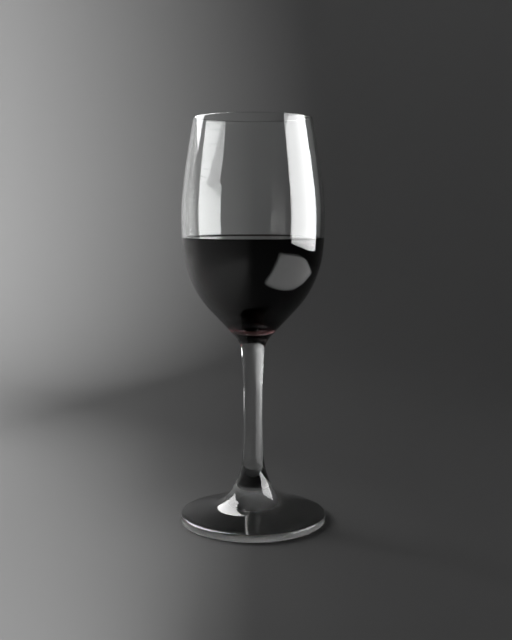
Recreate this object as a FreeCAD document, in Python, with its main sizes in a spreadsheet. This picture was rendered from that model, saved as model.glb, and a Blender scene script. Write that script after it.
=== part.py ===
import FreeCAD, Part
import math
import os

import Sketcher
from FreeCAD import Vector

# A stemmed wine glass, blown and drawn as one piece of clear glass, with a measure of
# red wine in its bowl.  Both pieces are turned about the upright axis Z, and the origin
# is the middle of the circle that the foot stands on.

# Driving sizes in millimetres, slopes in degrees.
SIZES = [
    ("total_height", 200.0, "table to the rim"),
    ("rim_radius", 28.8, "outside of the mouth"),
    ("rim_wall", 1.2, "glass at the mouth"),
    ("rim_rounding", 0.5, "melted edge, inside and out"),
    ("bowl_radius", 35.25, "outside of the bowl where it is widest"),
    ("bowl_widest_height", 150.0, "where the outside is widest"),
    ("shoulder_top", 169.0, "the wall's long curve meets the shoulder"),
    ("shoulder_arc", 137.0, "radius of the curve through the widest place"),
    ("belly_top", 135.5, "the shoulder meets the belly"),
    ("belly_arc", 50.2, "radius of the belly's curve"),
    ("cone_top", 106.5, "the belly runs out into a straight cone"),
    ("neck_bottom", 85.4, "the neck runs out into the stem"),
    ("stem_radius", 4.62, "the stem where it is thinnest"),
    ("stem_waist_height", 57.3, "where the stem is thinnest"),
    ("stem_arc", 380.0, "radius of the stem's long hollow curve"),
    ("flare_top", 32.2, "the stem begins to spread"),
    ("flare_arc", 38.3, "radius of the spreading curve"),
    ("foot_arc_top", 16.8, "the spread bends over into the foot"),
    ("foot_slope", 14.5, "fall of the foot's top, from level"),
    ("foot_radius", 36.7, "outside of the foot"),
    ("foot_edge_height", 3.6, "thickness of the foot at its edge"),
    ("foot_top_rounding", 1.3, "upper edge of the foot"),
    ("foot_bottom_rounding", 0.9, "lower edge of the foot"),
    ("underside_radius", 29.0, "shallow dish under the foot"),
    ("underside_height", 0.9, "depth of that dish in the middle"),
    ("bowl_wall", 2.05, "glass where the bowl is widest"),
    ("hollow_widest_height", 152.0, "where the inside is widest"),
    ("hollow_shoulder_top", 169.0, "inside, the wall's curve meets the shoulder"),
    ("hollow_shoulder_arc", 141.0, "inside radius through the widest place"),
    ("hollow_belly_top", 135.7, "inside, the shoulder meets the belly"),
    ("hollow_belly_arc", 47.7, "inside radius of the belly"),
    ("hollow_cone_top", 108.2, "inside, the belly runs out into a cone"),
    ("hollow_bottom", 97.7, "lowest point of the inside"),
    ("wine_level", 142.0, "flat surface of the wine"),
    ("wine_flat_radius", 31.6, "the surface is flat out to here"),
    ("meniscus_arc", 2.75, "radius of the wine's curve up the wall"),
    ("meniscus_reach", 33.6, "end of that curve, inside the wall"),
]

ORIGIN = (-1, 1)
V_AXIS = -2
CENTRE = 3


def make_sheet(doc):
    """The sizes, one to a row, with each value's cell named by its alias."""
    sheet = doc.addObject("Spreadsheet::Sheet", "sizes")
    for row, (alias, value, note) in enumerate(SIZES, start=1):
        sheet.set("A%d" % row, alias)
        sheet.set("B%d" % row, str(value))
        sheet.set("C%d" % row, note)
        sheet.setAlias("B%d" % row, alias)
    doc.recompute()
    return sheet


def make_body(doc, label):
    body = doc.addObject("PartDesign::Body", label + "_body")
    body.Label = label
    return body


def upright_sketch(body, name):
    """A sketch on the body's own upright plane: across is the radius, up is the height."""
    sketch = body.newObject("Sketcher::SketchObject", name)
    plane = next(f for f in body.Origin.OriginFeatures if f.Role == "XZ_Plane")
    sketch.AttachmentSupport = [(plane, "")]
    sketch.MapMode = "FlatFace"
    return sketch


def line(sketch, start, end):
    segment = Part.LineSegment(Vector(*start, 0), Vector(*end, 0))
    return {"geo": sketch.addGeometry(segment), "first": 1, "last": 2}


def arc(sketch, centre, start, end):
    """An arc the short way round from start to end.  A sketch keeps its arcs turning
    anticlockwise, so an arc drawn clockwise has its two ends the other way about."""
    start_angle = math.atan2(start[1] - centre[1], start[0] - centre[0])
    end_angle = math.atan2(end[1] - centre[1], end[0] - centre[0])
    turn = math.remainder(end_angle - start_angle, 2 * math.pi)
    circle = Part.Circle(Vector(*centre, 0), Vector(0, 0, 1), math.dist(centre, start))
    if turn > 0:
        curve = Part.ArcOfCircle(circle, start_angle, start_angle + turn)
        return {"geo": sketch.addGeometry(curve), "first": 1, "last": 2}
    curve = Part.ArcOfCircle(circle, end_angle, end_angle - turn)
    return {"geo": sketch.addGeometry(curve), "first": 2, "last": 1}


def join(sketch, pieces, smooth):
    """Ties each piece's end to the next one's start, round the whole outline.  The
    pairs of numbers in smooth are the pieces that meet without a corner."""
    for number, piece in enumerate(pieces):
        following = (number + 1) % len(pieces)
        kind = "Tangent" if (number, following) in smooth else "Coincident"
        other = pieces[following]
        ends = (piece["geo"], piece["last"], other["geo"], other["first"])
        sketch.addConstraint(Sketcher.Constraint(kind, *ends))


def bind(sketch, expression, kind, *where):
    """A dimension of the sketch that follows an expression of the sheet's sizes."""
    value = sketch.evalExpression(expression)
    if kind == "Angle":
        value = math.radians(value)
    number = sketch.addConstraint(Sketcher.Constraint(kind, *where, value))
    sketch.setExpression("Constraints[%d]" % number, expression)


def bind_height(sketch, expression, geo, point):
    bind(sketch, expression, "DistanceY", *ORIGIN, geo, point)


def bind_reach(sketch, expression, geo, point):
    bind(sketch, expression, "DistanceX", *ORIGIN, geo, point)


def along(start, towards, distance):
    """The point that lies a distance from start on the way to another point."""
    share = distance / math.dist(start, towards)
    return (
        start[0] + share * (towards[0] - start[0]),
        start[1] + share * (towards[1] - start[1]),
    )


def arc_at_height(centre, radius, height, side):
    """The point of a circle at a height, on its right (side 1) or left (side -1)."""
    rise = height - centre[1]
    return (centre[0] + side * math.sqrt(radius**2 - rise**2), height)


def radius_through(start, towards, other):
    """Radius of the circle that passes through start and other, with its centre on the
    line from start towards a given point."""
    unit = (along(start, towards, 1.0)[0] - start[0], along(start, towards, 1.0)[1] - start[1])
    chord = (other[0] - start[0], other[1] - start[1])
    return math.dist(start, other) ** 2 / (2 * (chord[0] * unit[0] + chord[1] * unit[1]))


def radius_touching(start, towards, on_line, normal):
    """Radius of the circle that passes through start, with its centre on the line from
    start towards a given point, and touches a straight line whose unit normal points
    to the centre's side."""
    unit = (along(start, towards, 1.0)[0] - start[0], along(start, towards, 1.0)[1] - start[1])
    gap = normal[0] * (start[0] - on_line[0]) + normal[1] * (start[1] - on_line[1])
    return gap / (1 - normal[0] * unit[0] - normal[1] * unit[1])


def bowl_curves(rim, widest, shoulder_arc, shoulder_top, belly_top, belly_arc, cone_top):
    """Centres and joints of the four curves from the rim down to the cone, each one
    touching the next: long wall, shoulder, belly and the cone's slope."""
    shoulder = (widest[0] - shoulder_arc, widest[1])
    wall_end = arc_at_height(shoulder, shoulder_arc, shoulder_top, 1)
    wall = along(wall_end, shoulder, radius_through(wall_end, shoulder, rim))
    belly_start = arc_at_height(shoulder, shoulder_arc, belly_top, 1)
    belly = along(belly_start, shoulder, belly_arc)
    belly_end = arc_at_height(belly, belly_arc, cone_top, 1)
    inward = (
        (belly[0] - belly_end[0]) / belly_arc,
        (belly[1] - belly_end[1]) / belly_arc,
    )
    return {
        "wall": wall,
        "wall_end": wall_end,
        "shoulder": shoulder,
        "belly_start": belly_start,
        "belly": belly,
        "belly_end": belly_end,
        "inward": inward,
    }


def draw_outside(body, size):
    """Half of the glass's outside, from the axis over the rim to the foot and back."""
    sketch = upright_sketch(body, "outside_outline")
    top = size("total_height")
    rim = (size("rim_radius"), top)
    widest = (size("bowl_radius"), size("bowl_widest_height"))
    bowl = bowl_curves(
        rim,
        widest,
        size("shoulder_arc"),
        size("shoulder_top"),
        size("belly_top"),
        size("belly_arc"),
        size("cone_top"),
    )

    # The stem's hollow curve, and the neck that runs from the cone into it.
    stem_arc = size("stem_arc")
    stem = (size("stem_radius") + stem_arc, size("stem_waist_height"))
    neck_end = arc_at_height(stem, stem_arc, size("neck_bottom"), -1)
    outward = (-bowl["inward"][0], -bowl["inward"][1])
    neck_arc = radius_touching(neck_end, stem, bowl["belly_end"], outward)
    neck = along(neck_end, stem, neck_arc)
    neck_start = (neck[0] - neck_arc * outward[0], neck[1] - neck_arc * outward[1])

    # The spread of the stem, and the curve that bends over into the foot's slope.
    flare_start = arc_at_height(stem, stem_arc, size("flare_top"), -1)
    flare = along(flare_start, stem, size("flare_arc"))
    flare_end = arc_at_height(flare, size("flare_arc"), size("foot_arc_top"), -1)
    slope = math.radians(size("foot_slope"))
    upward = (math.sin(slope), math.cos(slope))
    edge_top = (size("foot_radius"), size("foot_edge_height"))
    foot_arc = radius_touching(flare_end, flare, edge_top, upward)
    foot = along(flare_end, flare, foot_arc)
    foot_start = (foot[0] - foot_arc * upward[0], foot[1] - foot_arc * upward[1])

    edge_bottom = (size("foot_radius"), 0.0)
    pieces = [
        line(sketch, (0.0, 0.0), (0.0, top)),
        line(sketch, (0.0, top), rim),
        arc(sketch, bowl["wall"], rim, bowl["wall_end"]),
        arc(sketch, bowl["shoulder"], bowl["wall_end"], bowl["belly_start"]),
        arc(sketch, bowl["belly"], bowl["belly_start"], bowl["belly_end"]),
        line(sketch, bowl["belly_end"], neck_start),
        arc(sketch, neck, neck_start, neck_end),
        arc(sketch, stem, neck_end, flare_start),
        arc(sketch, flare, flare_start, flare_end),
        arc(sketch, foot, flare_end, foot_start),
        line(sketch, foot_start, edge_top),
        line(sketch, edge_top, edge_bottom),
        line(sketch, edge_bottom, (0.0, 0.0)),
    ]
    smooth = {(2, 3), (3, 4), (4, 5), (5, 6), (6, 7), (7, 8), (8, 9), (9, 10)}
    join(sketch, pieces, smooth)
    axis, mouth, wall, shoulder, belly, cone, neck, stem, flare, foot, top, edge, base = (
        piece["geo"] for piece in pieces
    )
    sketch.addConstraint(Sketcher.Constraint("Coincident", axis, 1, *ORIGIN))
    sketch.addConstraint(Sketcher.Constraint("Vertical", axis))
    sketch.addConstraint(Sketcher.Constraint("Horizontal", mouth))
    sketch.addConstraint(Sketcher.Constraint("Vertical", edge))
    sketch.addConstraint(Sketcher.Constraint("Horizontal", base))

    bind_height(sketch, "sizes.total_height", axis, 2)
    bind_reach(sketch, "sizes.rim_radius", mouth, 2)
    bind(sketch, "sizes.shoulder_arc", "Radius", shoulder)
    centre = "sizes.shoulder_arc - sizes.bowl_radius"
    bind(sketch, centre, "DistanceX", shoulder, CENTRE, *ORIGIN)
    bind_height(sketch, "sizes.bowl_widest_height", shoulder, CENTRE)
    bind_height(sketch, "sizes.shoulder_top", wall, pieces[2]["last"])
    bind_height(sketch, "sizes.belly_top", belly, pieces[4]["first"])
    bind(sketch, "sizes.belly_arc", "Radius", belly)
    bind_height(sketch, "sizes.cone_top", cone, 1)
    bind_height(sketch, "sizes.neck_bottom", neck, pieces[6]["last"])
    bind(sketch, "sizes.stem_arc", "Radius", stem)
    bind_reach(sketch, "sizes.stem_radius + sizes.stem_arc", stem, CENTRE)
    bind_height(sketch, "sizes.stem_waist_height", stem, CENTRE)
    bind_height(sketch, "sizes.flare_top", flare, pieces[8]["first"])
    bind(sketch, "sizes.flare_arc", "Radius", flare)
    bind_height(sketch, "sizes.foot_arc_top", foot, pieces[9]["first"])
    bind(sketch, "-sizes.foot_slope", "Angle", top)
    bind_reach(sketch, "sizes.foot_radius", edge, 1)
    bind_height(sketch, "sizes.foot_edge_height", edge, 1)
    return sketch


def draw_inside(body, size):
    """Half of the bowl's hollow, from the axis over the mouth to its rounded bottom.
    The glass and the wine both take this outline, so that they meet face to face."""
    sketch = upright_sketch(body, "inside_outline")
    top = size("total_height")
    rim = (size("rim_radius") - size("rim_wall"), top)
    widest = (size("bowl_radius") - size("bowl_wall"), size("hollow_widest_height"))
    bowl = bowl_curves(
        rim,
        widest,
        size("hollow_shoulder_arc"),
        size("hollow_shoulder_top"),
        size("hollow_belly_top"),
        size("hollow_belly_arc"),
        size("hollow_cone_top"),
    )

    # The bottom is a round cup, centred on the axis, that the cone runs into.
    lowest = (0.0, size("hollow_bottom"))
    bottom_arc = radius_touching(lowest, (0.0, top), bowl["belly_end"], bowl["inward"])
    bottom = (0.0, lowest[1] + bottom_arc)
    cup_start = (
        bottom[0] - bottom_arc * bowl["inward"][0],
        bottom[1] - bottom_arc * bowl["inward"][1],
    )
    pieces = [
        line(sketch, lowest, (0.0, top)),
        line(sketch, (0.0, top), rim),
        arc(sketch, bowl["wall"], rim, bowl["wall_end"]),
        arc(sketch, bowl["shoulder"], bowl["wall_end"], bowl["belly_start"]),
        arc(sketch, bowl["belly"], bowl["belly_start"], bowl["belly_end"]),
        line(sketch, bowl["belly_end"], cup_start),
        arc(sketch, bottom, cup_start, lowest),
    ]
    join(sketch, pieces, {(2, 3), (3, 4), (4, 5), (5, 6)})
    axis, mouth, wall, shoulder, belly, cone, cup = (piece["geo"] for piece in pieces)
    sketch.addConstraint(Sketcher.Constraint("PointOnObject", axis, 1, V_AXIS))
    sketch.addConstraint(Sketcher.Constraint("Vertical", axis))
    sketch.addConstraint(Sketcher.Constraint("Horizontal", mouth))
    sketch.addConstraint(Sketcher.Constraint("PointOnObject", cup, CENTRE, V_AXIS))

    bind_height(sketch, "sizes.total_height", axis, 2)
    bind_reach(sketch, "sizes.rim_radius - sizes.rim_wall", mouth, 2)
    bind(sketch, "sizes.hollow_shoulder_arc", "Radius", shoulder)
    centre = "sizes.hollow_shoulder_arc - sizes.bowl_radius + sizes.bowl_wall"
    bind(sketch, centre, "DistanceX", shoulder, CENTRE, *ORIGIN)
    bind_height(sketch, "sizes.hollow_widest_height", shoulder, CENTRE)
    bind_height(sketch, "sizes.hollow_shoulder_top", wall, pieces[2]["last"])
    bind_height(sketch, "sizes.hollow_belly_top", belly, pieces[4]["first"])
    bind(sketch, "sizes.hollow_belly_arc", "Radius", belly)
    bind_height(sketch, "sizes.hollow_cone_top", cone, 1)
    bind_height(sketch, "sizes.hollow_bottom", axis, 1)
    return sketch


def draw_underside(body, size):
    """Half of the shallow dish under the foot, which leaves the glass on a flat ring."""
    sketch = upright_sketch(body, "underside_outline")
    reach = size("underside_radius")
    height = size("underside_height")
    dish_arc = (reach**2 + height**2) / (2 * height)
    pieces = [
        line(sketch, (0.0, 0.0), (0.0, height)),
        arc(sketch, (0.0, height - dish_arc), (0.0, height), (reach, 0.0)),
        line(sketch, (reach, 0.0), (0.0, 0.0)),
    ]
    join(sketch, pieces, set())
    axis, dish, base = (piece["geo"] for piece in pieces)
    sketch.addConstraint(Sketcher.Constraint("Coincident", axis, 1, *ORIGIN))
    sketch.addConstraint(Sketcher.Constraint("Vertical", axis))
    sketch.addConstraint(Sketcher.Constraint("Horizontal", base))
    sketch.addConstraint(Sketcher.Constraint("PointOnObject", dish, CENTRE, V_AXIS))
    bind_height(sketch, "sizes.underside_height", axis, 2)
    bind_reach(sketch, "sizes.underside_radius", base, 1)
    return sketch


def draw_air(body, size):
    """Half of the space over the wine: its flat surface, which turns up near the wall
    in a small meniscus, and everything above."""
    sketch = upright_sketch(body, "air_outline")
    level = size("wine_level")
    top = size("total_height")
    flat_end = (size("wine_flat_radius"), level)
    centre = (flat_end[0], level + size("meniscus_arc"))
    reach = size("meniscus_reach")
    across = reach - centre[0]
    curve_end = (reach, centre[1] - math.sqrt(size("meniscus_arc") ** 2 - across**2))
    pieces = [
        line(sketch, (0.0, top), (0.0, level)),
        line(sketch, (0.0, level), flat_end),
        arc(sketch, centre, flat_end, curve_end),
        line(sketch, curve_end, (reach, top)),
        line(sketch, (reach, top), (0.0, top)),
    ]
    join(sketch, pieces, {(1, 2)})
    axis, surface, curve, side, roof = (piece["geo"] for piece in pieces)
    sketch.addConstraint(Sketcher.Constraint("PointOnObject", axis, 1, V_AXIS))
    sketch.addConstraint(Sketcher.Constraint("Vertical", axis))
    sketch.addConstraint(Sketcher.Constraint("Horizontal", surface))
    sketch.addConstraint(Sketcher.Constraint("Vertical", side))
    sketch.addConstraint(Sketcher.Constraint("Horizontal", roof))
    bind_height(sketch, "sizes.total_height", axis, 1)
    bind_height(sketch, "sizes.wine_level", axis, 2)
    bind_reach(sketch, "sizes.wine_flat_radius", surface, 2)
    bind(sketch, "sizes.meniscus_arc", "Radius", curve)
    bind_reach(sketch, "sizes.meniscus_reach", side, 1)
    return sketch


def turn(body, kind, sketch, name):
    """Turns an outline about the sketch's upright axis, to add or to remove."""
    feature = body.newObject(kind, name)
    feature.Profile = sketch
    feature.ReferenceAxis = (sketch, ["V_Axis"])
    feature.Angle = 360.0
    sketch.Visibility = False
    return feature


def edges_at(shape, places):
    """Names of the round edges that lie at the given radii and heights."""
    names = []
    for number, edge in enumerate(shape.Edges, start=1):
        box = edge.BoundBox
        flat = math.isclose(box.ZMin, box.ZMax, abs_tol=1e-3)
        for radius, height in places:
            if flat and math.dist((box.XMax, box.ZMax), (radius, height)) < 1e-3:
                names.append("Edge%d" % number)
    return names


def round_edges(doc, body, name, size_name, places):
    """Melts a body's sharp round edges to a radius from the sheet."""
    doc.recompute()
    last = body.Tip
    fillet = body.newObject("PartDesign::Fillet", name)
    fillet.Base = (last, edges_at(last.Shape, places))
    fillet.setExpression("Radius", "sizes." + size_name)
    doc.recompute()


def make_glass(doc, size):
    """The glass: turned outside, hollow bowl, dished foot and melted edges."""
    body = make_body(doc, "glass")
    turn(body, "PartDesign::Revolution", draw_outside(body, size), "blown_outside")
    turn(body, "PartDesign::Groove", draw_inside(body, size), "bowl_hollow")
    turn(body, "PartDesign::Groove", draw_underside(body, size), "underside_dish")
    top = size("total_height")
    rim = size("rim_radius")
    mouth = [(rim, top), (rim - size("rim_wall"), top)]
    round_edges(doc, body, "melted_rim", "rim_rounding", mouth)
    foot_top = [(size("foot_radius"), size("foot_edge_height"))]
    round_edges(doc, body, "foot_upper_edge", "foot_top_rounding", foot_top)
    foot_bottom = [(size("foot_radius"), 0.0)]
    round_edges(doc, body, "foot_lower_edge", "foot_bottom_rounding", foot_bottom)
    return body


def make_wine(doc, size):
    """The wine fills the bowl's hollow, less the air over it."""
    body = make_body(doc, "wine")
    turn(body, "PartDesign::Revolution", draw_inside(body, size), "poured_wine")
    turn(body, "PartDesign::Groove", draw_air(body, size), "air_over_wine")
    return body


def check(doc, bodies):
    """Stops if any object failed, an outline isn't fully fixed, or a shape is bad."""
    for item in doc.Objects:
        if "Invalid" in item.State or "Error" in item.State:
            raise RuntimeError("%s failed: %s" % (item.Label, item.State))
        if item.isDerivedFrom("Sketcher::SketchObject") and not item.FullyConstrained:
            raise RuntimeError("%s is not fully constrained" % item.Label)
    for body in bodies:
        shape = body.Shape
        if shape.isNull() or not shape.isValid() or len(shape.Solids) != 1:
            raise RuntimeError("%s has no single valid solid" % body.Label)


def report(bodies):
    """Prints each piece's volume and box, so that a change can be compared."""
    for body in bodies:
        box = body.Shape.optimalBoundingBox(False, False)
        size_text = "%.2f x %.2f x %.2f mm" % (box.XLength, box.YLength, box.ZLength)
        print("%s: %.2f cm3, %s" % (body.Label, body.Shape.Volume / 1000.0, size_text))
    glass, wine = (body.Shape for body in bodies)
    print("overlap of the two: %.4f mm3" % glass.common(wine).Volume)


def export(bodies):
    os.makedirs("parts", exist_ok=True)
    for body in bodies:
        body.Shape.exportStep(os.path.join("parts", body.Label + ".step"))


doc = FreeCAD.newDocument("wine_glass")
sheet = make_sheet(doc)
bodies = [make_glass(doc, sheet.get), make_wine(doc, sheet.get)]
doc.recompute()
check(doc, bodies)
report(bodies)
export(bodies)
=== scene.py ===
import math

import bpy
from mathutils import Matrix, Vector


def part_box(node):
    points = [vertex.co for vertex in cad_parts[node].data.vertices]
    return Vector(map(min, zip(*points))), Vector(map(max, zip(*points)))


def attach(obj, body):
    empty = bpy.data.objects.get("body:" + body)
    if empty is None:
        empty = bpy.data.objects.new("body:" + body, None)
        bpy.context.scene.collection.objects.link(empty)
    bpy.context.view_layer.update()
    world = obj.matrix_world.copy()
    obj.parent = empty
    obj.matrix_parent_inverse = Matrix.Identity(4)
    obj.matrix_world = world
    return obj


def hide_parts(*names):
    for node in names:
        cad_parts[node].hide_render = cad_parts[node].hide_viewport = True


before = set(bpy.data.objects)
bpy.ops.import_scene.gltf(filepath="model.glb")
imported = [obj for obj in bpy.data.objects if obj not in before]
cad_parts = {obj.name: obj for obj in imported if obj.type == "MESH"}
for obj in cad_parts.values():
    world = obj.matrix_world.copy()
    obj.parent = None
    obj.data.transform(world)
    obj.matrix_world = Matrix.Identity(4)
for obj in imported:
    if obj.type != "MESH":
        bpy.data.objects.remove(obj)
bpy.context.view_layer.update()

# The glass: one piece of clear soda-lime glass.  The bowl is blown, the stem is drawn
# down out of its bottom, and the foot is pressed on and stands on a flat ring.  Every
# curve of it runs round one upright axis, so it is turned from a single outline.
MM = 0.001
TURN_STEPS = 180
POINT_SPACING = 1.5 * MM
POINT_ANGLE = math.radians(2.5)
SAME_POINT = 0.002 * MM
ON_THE_EDGE = 0.01 * MM
glass_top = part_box("glass")[1]
rim_height = glass_top.z
foot_radius = glass_top.x


def direction(angle):
    """The unit direction at an angle up from level, in the outline's plane."""
    return Vector((math.cos(angle), math.sin(angle)))


def angle_at_height(centre, radius, height):
    """The angle at which the right-hand side of a circle reaches a height."""
    return math.asin((height - centre.y) / radius)


def bend(centre, radius, start, end, spacing=POINT_SPACING):
    """Evenly spaced points along an arc, from one angle to another."""
    sweep = abs(end - start)
    count = 2 + int(max(sweep * radius / spacing, sweep / POINT_ANGLE))
    turns = [start + (end - start) * i / (count - 1) for i in range(count)]
    return [centre + radius * direction(turn) for turn in turns]


def straight(start, end):
    """Evenly spaced points along a straight line."""
    count = 2 + int((end - start).length / POINT_SPACING)
    return [start.lerp(end, i / (count - 1)) for i in range(count)]


def radius_touching(start, towards, on_line, normal):
    """Radius of the arc that passes through start, with its centre in a direction from
    there, and touches the line through a point whose normal is on the centre's side."""
    return normal.dot(start - on_line) / (1 - normal.dot(towards))


def bowl_arcs(rim, widest, shoulder_arc, shoulder_top, belly_arc, belly_top, cone_top):
    """The bowl's side in three arcs that run into each other without a corner: the long
    wall under the rim, the shoulder through the widest place, and the rounder belly.
    Each is its centre, its radius and the two angles it runs between."""
    shoulder = Vector((widest.x - shoulder_arc, widest.y))
    upper = angle_at_height(shoulder, shoulder_arc, shoulder_top)
    lower = angle_at_height(shoulder, shoulder_arc, belly_top)
    wall_end = shoulder + shoulder_arc * direction(upper)
    chord = rim - wall_end
    wall_arc = -chord.length_squared / (2 * chord.dot(direction(upper)))
    wall = wall_end - wall_arc * direction(upper)
    belly = shoulder + (shoulder_arc - belly_arc) * direction(lower)
    return (
        (wall, wall_arc, angle_at_height(wall, wall_arc, rim.y), upper),
        (shoulder, shoulder_arc, upper, lower),
        (belly, belly_arc, lower, angle_at_height(belly, belly_arc, cone_top)),
    )


def turned(name, outline, steps):
    """A piece turned on a lathe: one point is drawn out along the outline, which starts
    and ends on the upright axis, and the line is spun once round that axis."""
    bpy.ops.object.select_all(action="DESELECT")
    start = outline[0]
    bpy.ops.mesh.primitive_plane_add(size=MM, location=(start.x, 0.0, start.y))
    bpy.ops.object.transform_apply(location=True, rotation=True, scale=True)
    piece = bpy.context.object
    piece.name = name
    piece.data.name = name
    bpy.ops.object.mode_set(mode="EDIT")
    bpy.ops.mesh.select_mode(type="VERT")
    bpy.ops.mesh.select_all(action="SELECT")
    bpy.ops.mesh.merge(type="CENTER")
    for here, there in zip(outline, outline[1:]):
        step = there - here
        bpy.ops.mesh.extrude_region_move(
            TRANSFORM_OT_translate={"value": (step.x, 0.0, step.y)}
        )
    bpy.ops.mesh.select_all(action="SELECT")
    bpy.ops.mesh.spin(
        steps=steps, angle=2 * math.pi, center=(0.0, 0.0, 0.0), axis=(0.0, 0.0, 1.0)
    )
    bpy.ops.mesh.select_all(action="SELECT")
    bpy.ops.mesh.remove_doubles(threshold=SAME_POINT)
    bpy.ops.mesh.normals_make_consistent(inside=False)
    bpy.ops.mesh.select_all(action="DESELECT")
    bpy.ops.object.mode_set(mode="OBJECT")
    bpy.ops.object.shade_smooth()
    return piece


def melt_edge(piece, radius, height, width):
    """Rounds off a sharp round edge of a turned piece, as a flame does."""
    bpy.ops.object.mode_set(mode="EDIT")
    bpy.ops.mesh.select_mode(type="VERT")
    bpy.ops.mesh.select_all(action="DESELECT")
    bpy.ops.object.mode_set(mode="OBJECT")
    for point in piece.data.vertices:
        place = Vector((math.hypot(point.co.x, point.co.y), point.co.z))
        point.select = (place - Vector((radius, height))).length < ON_THE_EDGE
    bpy.ops.object.mode_set(mode="EDIT")
    bpy.ops.mesh.select_mode(type="EDGE")
    bpy.ops.mesh.bevel(offset=width, segments=6, profile=0.5, affect="EDGES")
    bpy.ops.mesh.select_all(action="DESELECT")
    bpy.ops.object.mode_set(mode="OBJECT")


# The outline's curves, from the rim down: bowl, cone, neck, stem, flare and foot.
rim_radius = 28.8 * MM
bowl_radius = 35.25 * MM
outer_arcs = bowl_arcs(
    rim=Vector((rim_radius, rim_height)),
    widest=Vector((bowl_radius, 150.0 * MM)),
    shoulder_arc=137.0 * MM,
    shoulder_top=169.0 * MM,
    belly_arc=50.2 * MM,
    belly_top=135.5 * MM,
    cone_top=106.5 * MM,
)
outer_side = [point for arc in outer_arcs for point in bend(*arc)]
outer_belly_end = outer_arcs[-1][-1]
cone_out = direction(outer_belly_end)

stem_radius = 4.62 * MM
stem_waist = 57.3 * MM
stem_arc = 380.0 * MM
neck_bottom = 85.4 * MM
flare_top = 32.2 * MM
stem = Vector((stem_radius + stem_arc, stem_waist))
stem_start = math.pi - angle_at_height(stem, stem_arc, neck_bottom)
stem_end = math.pi - angle_at_height(stem, stem_arc, flare_top)
stem_top = stem + stem_arc * direction(stem_start)
neck_arc = radius_touching(stem_top, -direction(stem_start), outer_side[-1], cone_out)
neck = stem_top - neck_arc * direction(stem_start)

flare_arc = 38.3 * MM
foot_arc_top = 16.8 * MM
foot_fall = math.radians(14.5)
foot_thickness = 3.6 * MM
flare = stem + (stem_arc - flare_arc) * direction(stem_end)
flare_end = math.pi - angle_at_height(flare, flare_arc, foot_arc_top)
flare_foot = flare + flare_arc * direction(flare_end)
foot_edge = Vector((foot_radius, foot_thickness))
foot_up = direction(math.pi / 2 - foot_fall)
foot_arc = radius_touching(flare_foot, -direction(flare_end), foot_edge, foot_up)
foot = flare_foot - foot_arc * direction(flare_end)

outside = outer_side + straight(outer_side[-1], neck - neck_arc * cone_out)
outside += bend(neck, neck_arc, math.pi + outer_belly_end, stem_start)
outside += bend(stem, stem_arc, stem_start, stem_end)
outside += bend(flare, flare_arc, stem_end, flare_end)
outside += bend(foot, foot_arc, flare_end, 3 * math.pi / 2 - foot_fall)
outside += straight(foot - foot_arc * foot_up, foot_edge)

# Underneath, a flat ring to stand on round a shallow dish.
ring_radius = 29.0 * MM
dish_depth = 0.9 * MM
foot_bottom = Vector((foot_radius, 0.0))
ring_inside = Vector((ring_radius, 0.0))
dish_arc = (ring_radius**2 + dish_depth**2) / (2 * dish_depth)
dish = Vector((0.0, dish_depth - dish_arc))
underneath = straight(foot_edge, foot_bottom) + straight(foot_bottom, ring_inside)
underneath += bend(dish, dish_arc, angle_at_height(dish, dish_arc, 0.0), math.pi / 2)

# The bowl's hollow, whose wall thickens from the rim down, ends in a round cup.
rim_wall = 1.2 * MM
bowl_wall = 2.05 * MM
hollow_arcs = bowl_arcs(
    rim=Vector((rim_radius - rim_wall, rim_height)),
    widest=Vector((bowl_radius - bowl_wall, 152.0 * MM)),
    shoulder_arc=141.0 * MM,
    shoulder_top=169.0 * MM,
    belly_arc=47.7 * MM,
    belly_top=135.7 * MM,
    cone_top=108.2 * MM,
)
wine_low, wine_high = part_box("wine")
hollow_bottom = Vector((0.0, wine_low.z))
hollow_belly_end = hollow_arcs[-1][-1]
hollow_cone_top = bend(*hollow_arcs[-1])[-1]
cone_in = -direction(hollow_belly_end)
cup_arc = radius_touching(hollow_bottom, Vector((0.0, 1.0)), hollow_cone_top, cone_in)
cup = hollow_bottom + Vector((0.0, cup_arc))
inside = [point for arc in hollow_arcs for point in bend(*arc)]
inside += straight(inside[-1], cup - cup_arc * cone_in)
inside += bend(cup, cup_arc, hollow_belly_end, -math.pi / 2)


SHARED = 0.0001 * MM


def joined(*stretches):
    """Stretches of an outline as one list, with the point two of them share kept once."""
    points = [point for stretch in stretches for point in stretch]
    apart = [b for a, b in zip(points, points[1:]) if (b - a).length > SHARED]
    return points[:1] + apart


outline = joined(underneath[::-1], outside[::-1], inside)
glass = turned("wine_glass", outline, TURN_STEPS)
melt_edge(glass, outside[0].x, rim_height, width=0.5 * MM)
melt_edge(glass, inside[0].x, rim_height, width=0.5 * MM)
melt_edge(glass, foot_radius, foot_thickness, width=1.0 * MM)
melt_edge(glass, foot_radius, 0.0, width=0.9 * MM)

# Blown glass is never quite even.  This group gives slow waves a centimetre or so long,
# and a shade that drifts with them, for the glass and the wine's surface alike.
waves = bpy.data.node_groups.new("slow_waves", "ShaderNodeTree")
waves.interface.new_socket("Size", in_out="INPUT", socket_type="NodeSocketFloat")
waves.interface.new_socket("Height", in_out="OUTPUT", socket_type="NodeSocketFloat")
waves.interface.new_socket("Shade", in_out="OUTPUT", socket_type="NodeSocketFloat")
waves_in = waves.nodes.new("NodeGroupInput")
waves_out = waves.nodes.new("NodeGroupOutput")
place = waves.nodes.new("ShaderNodeTexCoord")
swell = waves.nodes.new("ShaderNodeTexNoise")
swell.inputs["Detail"].default_value = 1.0
swell.inputs["Roughness"].default_value = 0.4
drift = waves.nodes.new("ShaderNodeTexNoise")
drift.inputs["Scale"].default_value = 22.0
drift.inputs["Detail"].default_value = 2.0
waves.links.new(place.outputs["Object"], swell.inputs["Vector"])
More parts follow.
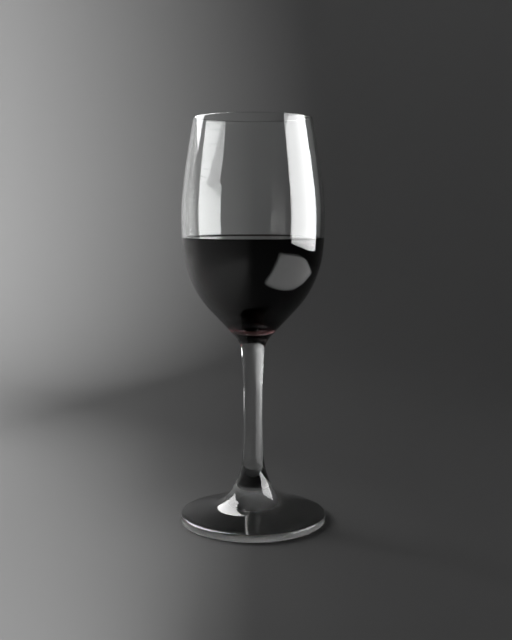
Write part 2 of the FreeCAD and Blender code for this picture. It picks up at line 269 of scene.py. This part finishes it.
waves.links.new(place.outputs["Object"], drift.inputs["Vector"])
waves.links.new(waves_in.outputs["Size"], swell.inputs["Scale"])
waves.links.new(swell.outputs["Fac"], waves_out.inputs["Height"])
waves.links.new(drift.outputs["Fac"], waves_out.inputs["Shade"])


def wavy_material(name, waves_per_metre, depth, palest, deepest):
    """A material whose colour drifts between two near shades and whose surface carries
    slow waves of a given depth; the rest of its look is set by the caller."""
    made = bpy.data.materials.new(name)
    made.use_nodes = True
    nodes = made.node_tree.nodes
    links = made.node_tree.links
    shader = nodes["Principled BSDF"]
    group = nodes.new("ShaderNodeGroup")
    group.node_tree = waves
    group.inputs["Size"].default_value = waves_per_metre
    shades = nodes.new("ShaderNodeMix")
    shades.data_type = "RGBA"
    shades.inputs["A"].default_value = palest
    shades.inputs["B"].default_value = deepest
    bump = nodes.new("ShaderNodeBump")
    bump.inputs["Strength"].default_value = 1.0
    bump.inputs["Distance"].default_value = depth
    links.new(group.outputs["Shade"], shades.inputs["Factor"])
    links.new(shades.outputs["Result"], shader.inputs["Base Color"])
    links.new(group.outputs["Height"], bump.inputs["Height"])
    links.new(bump.outputs["Normal"], shader.inputs["Normal"])
    return made, shader


# Three states of the one glass: clear; wetted by the wine, where the face between the
# two hardly mirrors; and the pressed underside of the foot, which is matt and bends
# light less, so that it mirrors little and the foot stays dark.
def glass_material(name, mirror=1.0, roughness=0.0, bending=1.52):
    """One state of the glass: how much it mirrors, how matt it is, and its bending."""
    made, shader = wavy_material(
        name,
        waves_per_metre=90.0,
        depth=0.012 * MM,
        palest=(0.995, 1.0, 0.997, 1.0),
        deepest=(0.98, 0.99, 0.985, 1.0),
    )
    shader.inputs["Roughness"].default_value = roughness
    shader.inputs["IOR"].default_value = bending
    shader.inputs["Transmission Weight"].default_value = 1.0
    shader.inputs["Specular Tint"].default_value = (mirror, mirror, mirror, 1.0)
    return made


WETTED = 1
PRESSED = 2
FACING_DOWN = -0.99
glass.data.materials.clear()
glass.data.materials.append(glass_material("clear_glass"))
glass.data.materials.append(glass_material("wetted_glass", mirror=0.0))
glass.data.materials.append(glass_material("pressed_glass", roughness=1.0, bending=1.22))
for face in glass.data.polygons:
    if wine_low.z < face.center.z < wine_high.z and face.normal.z > 0:
        face.material_index = WETTED
    if face.center.z < foot_thickness and face.normal.z < FACING_DOWN:
        face.material_index = PRESSED
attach(glass, "root")
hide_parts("glass")

# The wine: a dry red, so deep that it is near black but for a garnet line where it is
# thinnest.  It fills the bowl to just under the widest part, climbs the wall in a small
# meniscus, and reaches just into the wall so that no air shows between the two.
REACH = 0.2 * MM
level = 142.0 * MM
meniscus_arc = 2.75 * MM
flat_radius = 31.6 * MM
meniscus = Vector((flat_radius, level + meniscus_arc))


def grown(arc):
    """A bowl arc moved outward by the wine's reach into the wall."""
    centre, radius, start, end = arc
    return centre, radius + REACH, start, end


# The meniscus runs on until it is as far into the wall as the rest of the wine.
shoulder, shoulder_arc, _, lower = grown(hollow_arcs[1])
wall_angle = angle_at_height(shoulder, shoulder_arc, wine_high.z)
wall_at_top = shoulder + shoulder_arc * direction(wall_angle)
climb = -math.acos((wall_at_top.x - flat_radius) / meniscus_arc)
meniscus_top = meniscus + meniscus_arc * direction(climb)
wall_angle = angle_at_height(shoulder, shoulder_arc, meniscus_top.y)
wine_belly = bend(*grown(hollow_arcs[-1]))
wine_cup = bend(cup, cup_arc + REACH, hollow_belly_end, -math.pi / 2)
wine_outline = joined(
    straight(Vector((0.0, level)), Vector((flat_radius, level))),
    bend(meniscus, meniscus_arc, -math.pi / 2, climb),
    bend(shoulder, shoulder_arc, wall_angle, lower),
    wine_belly,
    straight(wine_belly[-1], wine_cup[0]),
    wine_cup,
)
wine = turned("red_wine", wine_outline, TURN_STEPS)
red_wine, wine_shader = wavy_material(
    "red_wine",
    waves_per_metre=60.0,
    depth=0.006 * MM,
    palest=(1.0, 0.97, 0.97, 1.0),
    deepest=(0.98, 0.93, 0.94, 1.0),
)
wine_shader.inputs["Roughness"].default_value = 0.0
wine_shader.inputs["IOR"].default_value = 1.345
wine_shader.inputs["Transmission Weight"].default_value = 1.0
wine_body = red_wine.node_tree.nodes.new("ShaderNodeVolumeAbsorption")
wine_body.inputs["Color"].default_value = (0.55, 0.02, 0.05, 1.0)
wine_body.inputs["Density"].default_value = 4000.0
wine_output = red_wine.node_tree.nodes["Material Output"]
red_wine.node_tree.links.new(wine_body.outputs["Volume"], wine_output.inputs["Volume"])
wine.data.materials.clear()
wine.data.materials.append(red_wine)
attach(wine, "root")
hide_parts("wine")

# The floor: a plain sheet of pale studio paper, flat round the glass and swept up all
# round into a low wall, so that no line shows where the one becomes the other.
FLOOR_DROP = 0.05 * MM
FLOOR_STEPS = 96
floor_radius = 0.42
sweep_arc = 0.50
wall_top = 0.95
sweep_centre = Vector((floor_radius, sweep_arc - FLOOR_DROP))
sweep = bend(sweep_centre, sweep_arc, -math.pi / 2, 0.0, spacing=0.05)
floor_outline = joined(
    [Vector((0.0, -FLOOR_DROP)), Vector((floor_radius / 2, -FLOOR_DROP))],
    sweep,
    [Vector((sweep[-1].x, wall_top))],
)
floor = turned("studio_floor", floor_outline, FLOOR_STEPS)
paper = bpy.data.materials.new("pale_paper")
paper.use_nodes = True
paper_shader = paper.node_tree.nodes["Principled BSDF"]
paper_shader.inputs["Roughness"].default_value = 0.9
paper_shader.inputs["Specular IOR Level"].default_value = 0.1
paper_place = paper.node_tree.nodes.new("ShaderNodeTexCoord")
paper_fibre = paper.node_tree.nodes.new("ShaderNodeTexNoise")
paper_fibre.inputs["Scale"].default_value = 6.0
paper_shades = paper.node_tree.nodes.new("ShaderNodeMix")
paper_shades.data_type = "RGBA"
paper_shades.inputs["A"].default_value = (0.50, 0.50, 0.50, 1.0)
paper_shades.inputs["B"].default_value = (0.51, 0.51, 0.51, 1.0)
paper_links = paper.node_tree.links
paper_links.new(paper_place.outputs["Object"], paper_fibre.inputs["Vector"])
paper_links.new(paper_fibre.outputs["Fac"], paper_shades.inputs["Factor"])
paper_links.new(paper_shades.outputs["Result"], paper_shader.inputs["Base Color"])
floor.data.materials.clear()
floor.data.materials.append(paper)


# The light: two softboxes show in the glass as white strips and spots, and a dim card
# lies on the right of it.  Four lamps turned to the left wash the paper, which falls
# off from light on the left to dark on the right.
def softbox(name, centre, aim, width, height, radiance):
    """A rectangular light facing a point, as bright as its radiance from anywhere.  It
    shows in the glass but not to the camera, and doesn't light the paper."""
    light = bpy.data.lights.new(name, "AREA")
    light.shape = "RECTANGLE"
    light.size = width
    light.size_y = height
    light.energy = radiance * math.pi * width * height
    lamp = bpy.data.objects.new(name, light)
    lamp.location = centre
    facing = Vector(centre) - Vector(aim)
    lamp.rotation_euler = facing.to_track_quat("Z", "Y").to_euler()
    lamp.visible_camera = False
    lamp.visible_diffuse = False
    bpy.context.scene.collection.objects.link(lamp)
    return lamp


def wash(name, centre, aim, width, height, radiance):
    """A lamp that lights the paper only."""
    lamp = softbox(name, centre, aim, width, height, radiance)
    lamp.visible_diffuse = True
    lamp.visible_glossy = False
    lamp.visible_transmission = False


softbox(
    "right_softbox",
    centre=(0.42, -0.01, 0.222),
    aim=(0.0, -0.01, 0.222),
    width=0.43,
    height=0.30,
    radiance=8.0,
)
left_distance = 0.75
left_turn = math.radians(133.0)
left_rise = math.radians(44.3)
left_reach = left_distance * math.cos(left_rise)
left_centre = (
    -left_reach * math.sin(left_turn),
    -left_reach * math.cos(left_turn),
    left_distance * math.sin(left_rise),
)
left = softbox(
    "left_softbox",
    centre=left_centre,
    aim=(0.0, 0.0, 0.0),
    width=0.59,
    height=0.47,
    radiance=9.0,
)
left.visible_transmission = False
card = softbox(
    "right_card",
    centre=(0.361, -0.115, 0.008),
    aim=(0.361, -0.115, 1.0),
    width=0.47,
    height=0.40,
    radiance=1.2,
)
card.rotation_euler = (math.pi, 0.0, math.radians(-39.0))
wash("wall_wash", (-0.25, 0.35, 0.45), (-0.7, 0.6, 0.3), 0.3, 0.3, radiance=7.6)
wash("far_wash", (-0.3, 0.2, 0.2), (-0.5, 0.0, -0.05), 0.3, 0.12, radiance=3.6)
wash("side_wash", (0.0, -0.1, 0.3), (-1.0, -0.1, 0.3), 0.2, 0.2, radiance=8.0)
wash("near_wash", (-0.02, -0.25, 0.15), (-1.0, -0.25, 0.15), 0.2, 0.2, radiance=1.6)
world = bpy.data.worlds.new("dim_studio")
world.use_nodes = True
sky = world.node_tree.nodes["Background"]
sky.inputs["Color"].default_value = (0.002, 0.002, 0.002, 1.0)
bpy.context.scene.world = world

# The camera: half a metre in front of the glass and a little over the wine's surface,
# looking slightly down.  Light takes many turns inside the glass and the wine, so its
# paths may be long, and the glass throws no focused light on the paper.
LOOKING_DOWN = math.radians(6.69)
camera_data = bpy.data.cameras.new("camera")
camera_data.sensor_width = 36.0
camera_data.lens = 53.72
camera = bpy.data.objects.new("camera", camera_data)
camera.location = (0.0015, -0.4702, 0.1566)
camera.rotation_euler = (math.pi / 2 - LOOKING_DOWN, 0.0, 0.0)
bpy.context.scene.collection.objects.link(camera)
scene = bpy.context.scene
scene.camera = camera
scene.view_settings.view_transform = "Standard"
scene.cycles.use_denoising = True
scene.cycles.max_bounces = 24
scene.cycles.transmission_bounces = 20
scene.cycles.glossy_bounces = 12
scene.cycles.caustics_refractive = False
scene.cycles.caustics_reflective = False
